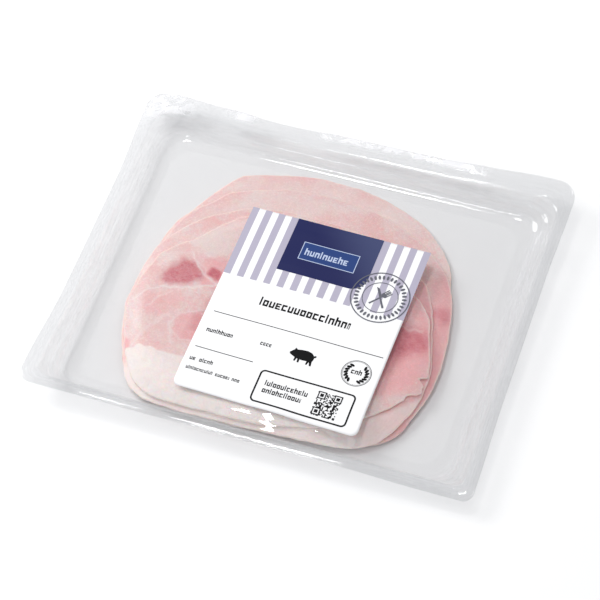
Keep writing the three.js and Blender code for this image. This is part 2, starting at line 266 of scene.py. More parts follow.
def rounded_loop(box, radii, side_steps, pulls=None):
    """Anticlockwise loop of a rounded rectangle (left, right, front, back) whose sides pull in."""
    pulls = pulls or dict.fromkeys(SIDES, 0.0)
    left, right, front, back = box
    corners = [((right, back), (-1, -1), "back", (0, -1)), ((left, back), (1, -1), "left", (1, 0)),
               ((left, front), (1, 1), "front", (0, 1)), ((right, front), (-1, 1), "right", (-1, 0))]
    centres = [np.array(tip) + radius * np.array(inwards)
               for (tip, inwards, _, _), radius in zip(corners, radii)]
    points = []
    for index, (_, _, side, inward) in enumerate(corners):
        angles = math.pi / 2 * (index + np.arange(CORNER_STEPS + 1) / CORNER_STEPS)
        arc = centres[index] + radii[index] * np.column_stack([np.cos(angles), np.sin(angles)])
        following = (index + 1) % 4
        end = centres[following] + radii[following] * np.array([math.cos(angles[-1]), math.sin(angles[-1])])
        t = (np.arange(1, side_steps) / side_steps)[:, None]
        pull = pulls[side] * smooth(np.minimum(t, 1 - t) / PULL_RUN)
        points += [arc, arc[-1] + (end - arc[-1]) * t + np.array(inward) * pull]
    return np.vstack(points)


def pack_loop(section_distance):
    """Loop round the pack at a distance in from the cut edge, in the units of TRAY_SECTION."""
    flange_share = min(1.0, section_distance / SECTION_UNIT)
    wall_share = min(1.0, max(0.0, section_distance / SECTION_UNIT - 1))
    beyond = max(0.0, section_distance - 2 * SECTION_UNIT) * MM
    inset = {side: flange_share * FLANGE_WIDTH[side]
             + wall_share * (FLOOR_INSET[side] - FLANGE_WIDTH[side]) + beyond for side in SIDES}
    pull_share = (1 - 0.65 * flange_share) * (1 - wall_share)
    box = (-HALF_WIDTH + inset["left"], HALF_WIDTH - inset["right"],
           -HALF_DEPTH + inset["front"], HALF_DEPTH - inset["back"])
    radii = [radius * (1 - wall_share) + FLOOR_CORNER_RADIUS * wall_share for radius in CORNER_RADII]
    return rounded_loop(box, radii, SIDE_STEPS, {side: EDGE_PULL[side] * pull_share for side in SIDES})


def rounded_section(section):
    """Replaces each corner of an open polyline of (distance, height, radius) by a short curve."""
    points = [np.array(section[0][:2])]
    for before, corner, after in zip(section, section[1:], section[2:]):
        at = np.array(corner[:2])
        to_before, to_after = np.array(before[:2]) - at, np.array(after[:2]) - at
        reach = min(corner[2], 0.8 * np.hypot(*to_before), 0.5 * np.hypot(*to_after))
        start = at + to_before / np.hypot(*to_before) * reach
        end = at + to_after / np.hypot(*to_after) * reach
        for t in np.linspace(0, 1, SECTION_ROUND_STEPS + 1):
            points.append((1 - t) ** 2 * start + 2 * t * (1 - t) * at + t * t * end)
    points.append(np.array(section[-1][:2]))
    return points


def bump_at(distance, reach):
    return np.exp(-(distance / reach) ** 2)


def crumpled(x, y):
    """1 at the crumpled back left corner, falling to 0 around it."""
    return bump_at(np.hypot(x + HALF_WIDTH - 8 * MM, y - HALF_DEPTH + 5 * MM), 11 * MM)


def curled_back(x):
    """1 where the back lip curls up."""
    return (smooth((x + 20 * MM) / (6 * MM)) * smooth((66 * MM - x) / (14 * MM))
            + bump_at(x + 56 * MM, 6 * MM))


def flange_lift(x, y, share):
    """Twist, slow waves, curled lips and the crumpled back left corner of the thin flange."""
    twist = FLANGE_TWIST * (x / HALF_WIDTH) * (y / HALF_DEPTH)
    wave = 0.12 * MM * ripple(x, y, 46 * MM, 3)
    crumple = crumpled(x, y) * (0.6 * MM * ripple(x, y, 7 * MM, 5) - 0.4 * MM)
    back_lip = 0.2 * curled_back(x) * np.clip(y - HALF_DEPTH + 6.5 * MM, 0, None)
    streaks = 0.03 * MM * smooth((y - HALF_DEPTH + 8.5 * MM) / (5 * MM)) * ripple(x * 0.1, y, 3.2 * MM, 8)
    front_lip = -0.22 * smooth((x - 44 * MM) / (30 * MM)) * np.clip(-HALF_DEPTH + 4.5 * MM - y, 0, None)
    return share * (twist + wave + crumple + back_lip + streaks + front_lip)


def film_underside(x, y):
    """The film lies on the flange and bulges over the ham, creased where it is drawn over its front."""
    sizes = pack_sizes()
    inside = {"left": x + HALF_WIDTH - FLANGE_WIDTH["left"], "right": HALF_WIDTH - FLANGE_WIDTH["right"] - x,
              "front": y + HALF_DEPTH - FLANGE_WIDTH["front"], "back": HALF_DEPTH - FLANGE_WIDTH["back"] - y}
    rise = 1.0
    for side in SIDES:
        # In front of the label the film falls steeply enough to mirror the overhead light in a few spots.
        steeper = 1 - 0.435 * bump_at(x - 7 * MM, 12 * MM) * (side == "front")
        rise = rise * smooth(inside[side] / (FILM_RUN[side] * steeper))
    from_ham = np.hypot((x - HAM_CENTRE[0]) / HAM_REACH[0], (y - HAM_CENTRE[1]) / HAM_REACH[1])
    rise = rise * smooth((1.4 - from_ham) / 0.4)
    nearest = np.minimum.reduce([inside[side] for side in SIDES])
    creases = 0.05 * MM * ripple(x, y, 17 * MM, 11) + 0.02 * MM * ripple(x * 0.25, y, 6 * MM, 12)
    front = bump_at(inside["front"] - 6 * MM, 5 * MM) * smooth((1.35 - from_ham) / 0.25)
    drawn = front * (0.16 * MM * ripple(x, y * 0.3, 21 * MM, 9) + 0.05 * MM * ripple(x * 0.12, y, 4 * MM, 16))
    over_flange = 0.3 * MM * smooth(-nearest / (2 * MM) + 0.5)
    return (sizes.flange_height + FILM_GAP + over_flange + flange_lift(x, y, 1.0)
            + sizes.film_rise * rise + creases * smooth(nearest / (12 * MM)) + drawn)


def label_surface(u, v, lift=0.0):
    """Pack coordinates of a point of the label's face, u to the right and v to the back."""
    sizes = pack_sizes()
    turn = sizes.label_turn
    x = LABEL_CENTRE[0] + u * math.cos(turn) - v * math.sin(turn)
    y = LABEL_CENTRE[1] + u * math.sin(turn) + v * math.cos(turn)
    z = film_underside(x, y) + sizes.film_thickness + sizes.label_thickness + LABEL_GAP + lift
    return x, y, z


# ---- meshes --------------------------------------------------------------------------------
def ring_faces(ring_count, points, start=0):
    """Quads between rings of points, the outer ring first, facing up for anticlockwise rings."""
    ring = np.arange(ring_count - 1)[:, None] * points + start
    here = np.arange(points)[None, :]
    following = (here + 1) % points
    quads = np.stack([ring + here, ring + following, ring + points + following, ring + points + here], -1)
    return quads.reshape(-1, 4).tolist()


def fan_faces(ring_start, points, middle):
    return [(ring_start + i, ring_start + (i + 1) % points, middle) for i in range(points)]


def new_piece(name, vertices, faces, materials):
    mesh = bpy.data.meshes.new(name)
    mesh.from_pydata([tuple(vertex) for vertex in vertices], [], faces)
    for material in materials:
        mesh.materials.append(material)
    mesh.polygons.foreach_set("use_smooth", [True] * len(mesh.polygons))
    mesh.update()
    piece = bpy.data.objects.new(name, mesh)
    bpy.context.scene.collection.objects.link(piece)
    return piece


def give_attribute(piece, name, values):
    """Stores one number or one vector for each vertex, for the piece's material to read."""
    values = np.asarray(values, float)
    kind, field = ("FLOAT", "value") if values.ndim == 1 else ("FLOAT_VECTOR", "vector")
    piece.data.attributes.new(name, kind, "POINT").data.foreach_set(field, values.ravel())


def open_surface(loops, middle):
    """Vertices and faces of stacked loops that close on a middle point."""
    rings, points = len(loops), len(loops[0])
    vertices = np.vstack(list(loops) + [np.array([middle])])
    faces = ring_faces(rings, points) + fan_faces((rings - 1) * points, points, rings * points)
    return vertices, faces


def closed_solid(upper, upper_middle, lower, lower_middle):
    """Vertices and faces of two stacks of loops joined at their outer rims."""
    top_vertices, top_faces = open_surface(upper, upper_middle)
    low_vertices, low_faces = open_surface(lower, lower_middle)
    shift, points = len(top_vertices), len(upper[0])
    faces = top_faces + [tuple(shift + i for i in reversed(face)) for face in low_faces]
    faces += [(i, shift + i, shift + (i + 1) % points, (i + 1) % points) for i in range(points)]
    return np.vstack([top_vertices, low_vertices]), faces


def thicken(piece, thickness, offset):
    """Gives a sheet its thickness, above it for an offset of 1 and below it for -1."""
    modifier = piece.modifiers.new("thickness", "SOLIDIFY")
    modifier.thickness = thickness
    modifier.offset = offset


def carry(piece, slot, *nodes):
    """Fixes a finished piece to the pack."""
    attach(piece, "root")
    if nodes:
        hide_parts(*nodes)


# ---- materials -----------------------------------------------------------------------------
SHEET_INDEX = 1.42
SHEET_TINT, SEALED_TINT = (0.966, 0.966, 0.967, 1), (0.948, 0.949, 0.951, 1)    # of one face
CREASE_WHITE = (0.97, 0.97, 0.98, 1)
COATING_ROUGHNESS = 0.5
# Direction and distances over which the painted sheen on the panel ink grows.
PAINTED_SHEEN_DIRECTION, PAINTED_SHEEN_START, PAINTED_SHEEN_END = (0.8, 0.6, 0), 12 * MM, 38 * MM
MOST_MIRRORED = 0.2                    # waves too small to model keep a grazing face from mirroring more


def add_node(tree, kind, inputs=None, output=0, **settings):
    """Adds a node with its settings, sets or links its inputs, and returns one of its outputs."""
    node = tree.nodes.new(kind)
    for field, value in settings.items():
        setattr(node, field, value)
    for key, value in (inputs or {}).items():
        if isinstance(value, bpy.types.NodeSocket):
            tree.links.new(value, node.inputs[key])
        else:
            node.inputs[key].default_value = value
    return node.outputs[output] if node.outputs else None


def new_material(name):
    """An empty material and its way of adding nodes."""
    material = bpy.data.materials.new(name)
    material.use_nodes = True
    material.node_tree.nodes.clear()
    return material, partial(add_node, material.node_tree)


def clear_sheet(name, roughness, wave_height, wave_size):
    """Clear thermoplastic sheet, extruded, then drawn or sealed hot: each face mirrors a little.

    It is streaky where it was stretched, greyer where sealed, and white where crumpled, and the white also
    paints glints on the film's crumpled corner and curled back lip."""
    material, add = new_material(name)
    where = add("ShaderNodeTexCoord", output="Object")
    waves = add("ShaderNodeTexNoise", {"Vector": where, "Scale": 1 / wave_size, "Detail": 2.0})
    skin = add("ShaderNodeAttribute", output="Vector", attribute_name="skin")
    drawn = add("ShaderNodeMapping", {"Vector": skin, "Scale": (0.05, 0.05, 1.0)})
    streaks = add("ShaderNodeTexNoise", {"Vector": drawn, "Scale": 1 / (0.9 * MM), "Detail": 3.0})
    streaks = add("ShaderNodeMapRange", {"Value": streaks, "From Min": 0.2, "From Max": 0.75})
    stretched = add("ShaderNodeAttribute", output="Fac", attribute_name="stretched")
    streaks = add("ShaderNodeMath", {0: streaks, 1: stretched}, operation="MULTIPLY")
    height = add("ShaderNodeMath", {0: waves, 1: streaks}, operation="ADD")
    normal = add("ShaderNodeBump", {"Height": height, "Distance": wave_height, "Strength": 1.0})
    # The light isn't bent on its way in, so the far face is given the same index seen from inside.
    inside = add("ShaderNodeNewGeometry", output="Backfacing")
    index = add("ShaderNodeMapRange", {"Value": inside, "To Min": SHEET_INDEX, "To Max": 1 / SHEET_INDEX})
    fresnel = add("ShaderNodeFresnel", {"IOR": index, "Normal": normal})
    mirrored = add("ShaderNodeMath", {0: fresnel, 1: MOST_MIRRORED}, operation="MINIMUM")
    sealed = add("ShaderNodeAttribute", output="Fac", attribute_name="sealed")
    grey = add("ShaderNodeMath", {0: streaks, 1: 0.5, 2: sealed}, operation="MULTIPLY_ADD")
    tint = add("ShaderNodeMix", {0: grey, 6: SHEET_TINT, 7: SEALED_TINT}, 2, data_type="RGBA")
    clear = add("ShaderNodeBsdfTransparent", {"Color": tint})
    gloss = add("ShaderNodeBsdfGlossy", {"Color": (1, 1, 1, 1), "Roughness": roughness, "Normal": normal})
    glossy = add("ShaderNodeMixShader", {0: mirrored, 1: clear, 2: gloss})
    lit = add("ShaderNodeBsdfDiffuse", {"Color": CREASE_WHITE})
    lit_through = add("ShaderNodeBsdfTranslucent", {"Color": CREASE_WHITE})
    white = add("ShaderNodeMixShader", {0: 0.4, 1: lit, 2: lit_through})
    creased = add("ShaderNodeTexNoise", {"Vector": where, "Scale": 1 / (9 * MM), "Detail": 1.0,
                                         "Distortion": 1.6})
    creased = add("ShaderNodeMapRange", {"Value": creased, "From Min": 0.43, "From Max": 0.55,
                                         "To Min": 0.15})
    # Stress-whitening, and painted glints on the film's crumpled corner and curled back lip.
    whitened_and_painted_glint = add("ShaderNodeAttribute", output="Fac", attribute_name="whitened_and_painted_glint")
    haze = add("ShaderNodeMath", {0: creased, 1: whitened_and_painted_glint}, operation="MULTIPLY")
    haze = add("ShaderNodeMath", {0: streaks, 1: 0.26, 2: haze}, operation="MULTIPLY_ADD")
    whole = add("ShaderNodeMixShader", {0: haze, 1: glossy, 2: white})
    add("ShaderNodeOutputMaterial", {"Surface": whole})
    return material


def printed(name, ink, roughness=0.42, gloss=0.35, sheen=None):
    """Offset ink on coated paper: even and half matt, with the slightest mottle of the press.

    A sheen colour, if given, is painted in and grows to the back right: a painted reflection of the pale
    studio in a dense ink."""
    material, add = new_material(name)
    where = add("ShaderNodeTexCoord", output="Object")
    # Painted sheen: the ink turns to a paler colour towards the back right, in place of a reflection.
    if sheen:
        along = add("ShaderNodeVectorMath", {0: where, 1: PAINTED_SHEEN_DIRECTION}, 1, operation="DOT_PRODUCT")
        share = add("ShaderNodeMapRange", {"Value": along, "From Min": PAINTED_SHEEN_START, "From Max": PAINTED_SHEEN_END},
                    interpolation_type="SMOOTHSTEP")
        ink = add("ShaderNodeMix", {0: share, 6: ink, 7: sheen}, 2, data_type="RGBA")
    mottle = add("ShaderNodeTexNoise", {"Vector": where, "Scale": 1 / (1.5 * MM), "Detail": 3.0})
    value = add("ShaderNodeMapRange", {"Value": mottle, "To Min": 0.97, "To Max": 1.03})
    ink = add("ShaderNodeHueSaturation", {"Value": value, "Color": ink})
    surface = add("ShaderNodeBsdfPrincipled", {"Base Color": ink, "Roughness": roughness,
                                               "Specular IOR Level": gloss})
    add("ShaderNodeOutputMaterial", {"Surface": surface})
    return material


def cooked_ham(name, seed):
    """Cured pork leg, cooked in its mould and sliced: moist, dense, with the muscles cut across.

    The bundles differ in tone, their fibres give a fine grain, and seams and the rim stay pale."""
    colours = pack_colours()
    material, add = new_material(name)
    where = add("ShaderNodeTexCoord", output="Object")
    patterns = []
    # Muscle bundles, fibres cut across and a finer grain: size, detail, roughness and stretch.
    for size, detail, rough, stretch in ((17, 4.0, 0.55, 1.0), (1.3, 4.0, 0.65, 0.7), (0.8, 2.0, 0.6, 1.0)):
        turned = add("ShaderNodeMapping", {"Vector": where, "Rotation": (0, 0, 0.8 - 0.2 * seed),
                                           "Scale": (stretch, 1.0, 1.0)})
        patterns.append(add("ShaderNodeTexNoise", {
            "Vector": turned, "Scale": 1 / (size * MM), "Detail": detail, "Roughness": rough,
            "W": seed * 3.7, "Distortion": 0.4}, noise_dimensions="4D"))
    tone, fibres, grain = patterns
    # Pale spots, few and far apart: flecks of fat, and painted glints where the wet meat mirrors the light.
    bead = add("ShaderNodeTexVoronoi", {"Vector": where, "Scale": 1 / (7 * MM), "W": seed * 5.0},
               voronoi_dimensions="4D")
    chosen = add("ShaderNodeSeparateColor", {"Color": bead.node.outputs["Color"]})
    # Each share stretches a pattern's values between two numbers to 0 to 1, or to between two others.
    shares = {use: add("ShaderNodeMapRange", dict(enumerate(stretch))) for use, stretch in {
        "muscle": (tone, 0.38, 0.62), "strong": (fibres, 0.48, 0.7, 0.0, 0.5),
        "marbled": (grain, 0.54, 0.72, 0.0, 0.5), "uneven": (fibres, 0.3, 0.7, 0.72, 1.12),
        "value": (grain, 0.3, 0.7, 0.945, 1.045), "roughness": (tone, 0.3, 0.7, 0.34, 0.52),
        "bead": (bead, 0.1, 0.05), "chosen": (chosen, 0.6, 0.65)}.items()}
    inks = {"pink": colours.muscle_pink, "pale": colours.muscle_pale, "deep": colours.muscle_deep,
            "fat": colours.fat, "seam": colours.seam, "rim": colours.rim}
    layers = [(shares["muscle"], colours.muscle), (shares["strong"], inks["pink"]),
              (shares["marbled"], inks["seam"])]
    for tissue, ink in inks.items():
        share = add("ShaderNodeAttribute", output="Fac", attribute_name=tissue)
        if tissue in ("pink", "deep", "seam"):
            share = add("ShaderNodeMath", {0: share, 1: shares["uneven"]}, operation="MULTIPLY")
        layers.append((share, ink))
    base = inks["pale"]
    for share, ink in layers:
        base = add("ShaderNodeMix", {0: share, 6: base, 7: ink}, 2, data_type="RGBA")
    base = add("ShaderNodeHueSaturation", {"Value": shares["value"], "Color": base})
    # The spots take the fat's colour, both as flecks of fat and as painted glints.
    fleck_and_painted_glint = add("ShaderNodeMath", {0: shares["bead"], 1: shares["chosen"]}, operation="MULTIPLY")
    fleck_and_painted_glint = add("ShaderNodeMath", {0: fleck_and_painted_glint, 1: 0.7}, operation="MULTIPLY")
    base = add("ShaderNodeMix", {0: fleck_and_painted_glint, 6: base, 7: colours.fat}, 2, data_type="RGBA")
    height = add("ShaderNodeMath", {0: grain, 1: 0.3, 2: fibres}, operation="MULTIPLY_ADD")
    normal = add("ShaderNodeBump", {"Height": height, "Distance": 0.16 * MM, "Strength": 0.6})
    surface = add("ShaderNodeBsdfPrincipled", {
        "Base Color": base, "Roughness": shares["roughness"], "IOR": 1.4, "Subsurface Weight": 0.4,
        "Subsurface Scale": 0.004, "Normal": normal})
    add("ShaderNodeOutputMaterial", {"Surface": surface})
    return material


# ---- tray ----------------------------------------------------------------------------------
FLOOR_RINGS = (0.9, 0.75, 0.5, 0.25)   # shares of the floor's outline
FLOOR_RING_STEP = 5.0                  # distance in that each counts as, beyond the draw streaks


class HAMPACK_OT_tray(bpy.types.Operator):
    """Thermoformed clear tray: beaded flange, stepped wall and flat floor"""
    bl_idname = "hampack.tray"
    bl_label = "Clear tray"

    def execute(self, context):
        sizes = pack_sizes()
        floor_height = sizes.tray_wall
        loops, distances = [], []
        for distance, height in rounded_section(TRAY_SECTION):
            loop = pack_loop(distance)
            share = (height - SECTION_FLOOR) / (SECTION_TOP - SECTION_FLOOR)
            z = floor_height + share * (sizes.flange_height - floor_height)
            lift = flange_lift(loop[:, 0], loop[:, 1], np.clip(share, 0, 1) ** 2)
            loops.append(np.column_stack([loop, z + lift]))
            distances.append(distance)
        inner = loops[-1]
        for share in FLOOR_RINGS:
            loops.append(np.column_stack([inner[:, :2] * share, np.full(len(inner), floor_height)]))
            distances.append(distances[-1] + FLOOR_RING_STEP)
        vertices, faces = open_surface(loops, (0, 0, floor_height))
        plastic = clear_sheet("clear_thermoformed_sheet", 0.04, 0.05 * MM, 22 * MM)
        tray = new_piece("tray_shell", vertices, faces, [plastic])
        # The sheet's own coordinates run round the pack and across its wall, as the draw streaks do.
        turn = np.linspace(0, math.tau, len(inner), endpoint=False)
        around = (HALF_WIDTH + HALF_DEPTH) * 2 / math.pi
        skin = [np.column_stack([around * np.cos(turn), around * np.sin(turn), np.full(len(turn), d * MM)])
                for d in distances]
        give_attribute(tray, "skin", np.vstack([*skin, np.zeros((1, 3))]))
        stretched = [0.9 * smooth((d - 1.0) / 3) * smooth((15 - d) / 3) for d in distances]
        # The back wall is given less haze than the others, which paints it lighter: the haze there would fall
        # in shade, where the film's reflection shows the wall light.
        back_lightened = 1 - 0.55 * smooth((vertices[:, 1] - 50 * MM) / (14 * MM))
        give_attribute(tray, "stretched", np.append(np.repeat(stretched, len(inner)), 0) * back_lightened)
        sealed = [smooth((SECTION_UNIT + 0.6 - d) / 1.2) for d in distances]
        give_attribute(tray, "sealed", np.append(np.repeat(sealed, len(inner)), 0))
        thicken(tray, sizes.tray_wall, -1)
        carry(tray, "tray_plastic", "tray")
        return {"FINISHED"}


# ---- film ----------------------------------------------------------------------------------
FILM_START, FILM_SEAL_END = 0.05, SECTION_UNIT + 0.4      # distances in from the cut edge
FILM_SEAL_RINGS, FILM_INNER_RINGS = 9, 56


class HAMPACK_OT_film(bpy.types.Operator):
    """Clear lidding film, sealed on the flange and bulging over the ham"""
    bl_idname = "hampack.film"
    bl_label = "Lidding film"

    def execute(self, context):
        sizes = pack_sizes()
        distances = np.linspace(FILM_START, FILM_SEAL_END, FILM_SEAL_RINGS)
        outlines = [pack_loop(distance) for distance in distances]
        inner = outlines[-1]
        outlines += [inner * share for share in 1 - np.linspace(0, 1, FILM_INNER_RINGS)[1:-1] ** 1.15]
        loops = [np.column_stack([loop, film_underside(*loop.T)]) for loop in outlines]
        middle = (0, 0, float(film_underside(np.array(0.0), np.array(0.0))))
        vertices, faces = open_surface(loops, middle)
        plastic = clear_sheet("clear_lidding_film", 0.03, 0.06 * MM, 15 * MM)
        film = new_piece("film_sheet", vertices, faces, [plastic])
        x, y = vertices[:, 0], vertices[:, 1]
        sealed = np.append(smooth((FILM_SEAL_END - distances) / 1.5), [0] * (len(loops) - len(distances)))
        sealed = np.append(np.repeat(sealed, len(inner)), 0)
        back_lip = smooth((y - HALF_DEPTH + 7 * MM) / (1.5 * MM)) * curled_back(x)
        give_attribute(film, "sealed", sealed)
        # White on the crumpled corner and the curled back lip: stress-whitening with painted glints of the
        # lamps; a faint white band in front, where the film is drawn over the ham.
        over_flange = (0.95 * crumpled(x, y) + back_lip) * (sealed > 0)
        front = 0.1 * bump_at(y + HALF_DEPTH - 12 * MM, 5 * MM) * smooth((60 * MM - np.abs(x)) / (20 * MM))
        give_attribute(film, "whitened_and_painted_glint", np.clip(over_flange + front, 0, 1))
        thicken(film, sizes.film_thickness, 1)
        carry(film, "film_plastic", "lid_film")
        return {"FINISHED"}


# ---- ham -----------------------------------------------------------------------------------
def closed_curve(points, count):
    """Evenly spaced points on a smooth closed curve through the given ones."""
    points = np.array(points, float)
    before, after, beyond = (np.roll(points, shift, 0) for shift in (1, -1, -2))
    t = np.linspace(0, 1, 24, endpoint=False)[None, :, None]
    p0, p1, p2, p3 = (a[:, None, :] for a in (before, points, after, beyond))
    dense = 0.5 * (2 * p1 + (p2 - p0) * t + (2 * p0 - 5 * p1 + 4 * p2 - p3) * t ** 2
                   + (3 * p1 - p0 - 3 * p2 + p3) * t ** 3)
    dense = dense.reshape(-1, 2)
    closed = np.vstack([dense, dense[:1]])
    along = np.concatenate([[0], np.cumsum(np.hypot(*np.diff(closed, axis=0).T))])
    even = np.linspace(0, along[-1], count, endpoint=False)
    return np.column_stack([np.interp(even, along, closed[:, axis]) for axis in (0, 1)])


def slice_outline(index, count):
    """Outline of a slice in metres, a little ragged, with a torn stretch on the top slice."""
    loop = closed_curve(SLICE_OUTLINES[index], count)
    outward = loop - loop.mean(0)
    outward /= np.hypot(*outward.T)[:, None]
    x, y = loop.T
    ragged = 0.16 * ripple(x, y, 9, 20 + index) + 0.07 * ripple(x, y, 2.6, 30 + index)
    if index == len(SLICE_OUTLINES) - 1:
        tear = bump_at(np.hypot(x - SLICE_TEAR[0], y - SLICE_TEAR[1]), SLICE_TEAR[2])
        ragged = ragged + tear * (0.8 * ripple(x, y, 3.5, 41) - 0.4)
    return (loop + outward * ragged[:, None]) * MM


def edge_distance(start, end, points):
    """Distance of points from the nearest of some edges."""
    edge = end - start
    offset = points[:, None, :] - start[None]
    t = np.clip((offset * edge).sum(-1) / (edge ** 2).sum(-1), 0, 1)
    return np.sqrt(((offset - t[..., None] * edge) ** 2).sum(-1)).min(1)


def distance_outside(loop, points):
    """Signed distance of points from a closed loop, negative inside."""
    start, end = loop, np.roll(loop, -1, 0)
    rise = np.where(end[:, 1] == start[:, 1], 1.0, end[:, 1] - start[:, 1])
    distances = []
    for some in np.array_split(points, len(points) // 4000 + 1):
        y = some[:, 1:2]
        crosses = (start[:, 1] > y) != (end[:, 1] > y)
        hits = crosses & (some[:, :1] < start[:, 0] + (end - start)[:, 0] * (y - start[:, 1]) / rise)
        distances.append(np.where(hits.sum(1) % 2 == 1, -1, 1) * edge_distance(start, end, some))
    return np.concatenate(distances)


def resting_height(lower_outlines, points, floor_height, thickness):
    """Height at which a slice lies: on the slices below, sinking past their edges."""
    height = np.full(len(points), floor_height + HAM_GAP)
    for outline in lower_outlines:
        past = (distance_outside(outline, points) - DRAPE_START) / (DRAPE_END - DRAPE_START)
        height += (thickness + SLICE_GAP) * (1 - smooth(past))
    return height + 0.2 * MM * ripple(points[:, 0], points[:, 1], 38 * MM, 50)


def bunched(x, y):
    """How much thicker the stack is at the front left, where the slices are pushed together."""
    return 1.7 * MM * smooth((-36 * MM - y) / (20 * MM)) * smooth((44 * MM - x) / (26 * MM))


def tissue_shares(index, points, depths):
    """Share of each kind of tissue at points of a slice that lie some depth inside its rim."""
    x, y = (points / MM).T
    wandering = np.column_stack([x + 0.4 * ripple(x, y, 5, 71), y + 0.4 * ripple(x, y, 5, 72)])
    absent = {tissue: np.ones(len(points)) for tissue in TISSUES}
    for tissue, outline, softness, strength in SLICE_PATCHES[index]:
        outside = distance_outside(closed_curve(outline, 48), wandering)
        absent[tissue] *= 1 - strength * smooth(0.5 - outside / softness)
    for line, width, strength in SLICE_SEAMS[index]:
        line = np.array(line, float)
        for some in np.array_split(np.arange(len(points)), len(points) // 20000 + 1):
            near = bump_at(edge_distance(line[:-1], line[1:], wandering[some]), width)
            absent["seam"][some] *= 1 - strength * near
    absent["rim"] *= 1 - (0.8 - 0.6 * smooth((-44 - y) / 12)) * bump_at(depths / MM - 0.15, 0.4)
    return {tissue: 1 - share for tissue, share in absent.items()}


TOP_MESH, LOWER_MESH = (640, 0.52), (320, 1.0)    # points round a slice, millimetres between its rings
RIM_STEPS = (0.0, 0.08, 0.25, 0.55, 1.0)          # shares of the rounded edge
UNDERSIDE_STEPS = (1.6, 3, 6, 12, 20, 30)         # millimetres in from the rim
FINE_END, MIDDLE_STEPS = 37, (41, 48, 56)         # millimetres in from the rim, under the label
SUPPORT_POINTS = 140


class HAMPACK_OT_ham(bpy.types.Operator):
    """Fanned slices of cooked ham, each lying on the ones below it"""
    bl_idname = "hampack.ham"
    bl_label = "Ham slices"

    def execute(self, context):
        sizes = pack_sizes()
        thickness = sizes.slice_thickness
        round_edge = thickness / 2
        rim_depths = round_edge * np.array(RIM_STEPS)
        middle_depths = np.array(MIDDLE_STEPS) * MM
        top_index = len(SLICE_OUTLINES) - 1
        supports = [slice_outline(index, SUPPORT_POINTS) for index in range(top_index)]
        for index in range(len(SLICE_OUTLINES)):
            count, step = TOP_MESH if index == top_index else LOWER_MESH
            outline = slice_outline(index, count)
            fine = np.arange(round_edge / MM + step, FINE_END, step) * MM
            coarse = np.array(UNDERSIDE_STEPS) * MM
            centre = outline.mean(0)
            mean_radius = np.hypot(*(outline - centre).T).mean()
            faces_depths = [np.concatenate([rim_depths, fine, middle_depths]),
                            np.concatenate([rim_depths[1:], coarse, middle_depths])]
            stacks, shares = [], []
            for side, depths in zip((1, -1), faces_depths):
                rings = [centre + (outline - centre) * (1 - depth / mean_radius) for depth in depths]
                points = np.vstack(rings)
                deep = np.repeat(depths, count)
                rest = resting_height(supports[:index], points, sizes.tray_wall, thickness)
                bulge = round_edge * np.sqrt(1 - (1 - np.minimum(1, deep / round_edge)) ** 2)
                if side > 0:
                    bulge *= 1 - 0.65 * (1 - smooth(deep / EDGE_TAPER))
                x, y = points.T
                grain = 0.06 * MM * ripple(x, y, 5 * MM, 60 + index) * np.minimum(1, deep / (3 * MM))
                lie = (index + 1 if side > 0 else index) / len(SLICE_OUTLINES)
                height = rest + round_edge + side * bulge + (grain if side > 0 else 0) + lie * bunched(x, y)
                stacks.append(np.column_stack([points, height]).reshape(len(depths), count, 3))
                share = tissue_shares(index, points, deep)
                shares.append({tissue: np.append(values, values[-1]) for tissue, values in share.items()})
            middles = [(*centre, stack[-1][:, 2].mean()) for stack in stacks]
            # The rim's outermost ring belongs to the upper stack, so the lower one starts further in.
            vertices, faces = closed_solid(stacks[0], middles[0], stacks[1], middles[1])
            meat = cooked_ham(f"cooked_ham_{index + 1}", 1.0 + index)
            piece = new_piece(f"ham_{index + 1}", vertices, faces, [meat])
            for tissue in TISSUES:
                give_attribute(piece, tissue, np.concatenate([shares[0][tissue], shares[1][tissue]]))
            carry(piece, "cooked_ham", f"ham_slice_{index + 1}")
        return {"FINISHED"}


# ---- label ---------------------------------------------------------------------------------
class HAMPACK_OT_label(bpy.types.Operator):
    """Coated paper label on the film"""
    bl_idname = "hampack.label"
    bl_label = "Label"

    def execute(self, context):
        sizes = pack_sizes()
        half_width, half_depth = sizes.label_width / 2, sizes.label_depth / 2
        box = (-half_width, half_width, -half_depth, half_depth)
        outline = rounded_loop(box, [sizes.label_radius] * 4, LABEL_SIDE_STEPS)
        upper, lower = [], []
        for share in np.linspace(1, 0, LABEL_RINGS + 1)[:-1]:
            u, v = (outline * share).T
            upper.append(np.column_stack(label_surface(u, v)))
            lower.append(np.column_stack(label_surface(u, v, -sizes.label_thickness)))
        zero = np.array(0.0)
        middles = [tuple(float(c) for c in label_surface(zero, zero, lift))
                   for lift in (0.0, -sizes.label_thickness)]
        vertices, faces = closed_solid(upper, middles[0], lower, middles[1])
        paper = printed("coated_label_paper", pack_colours().paper, COATING_ROUGHNESS)
        label = new_piece("label_paper", vertices, faces, [paper])
        carry(label, "label_paper", "label")
        return {"FINISHED"}


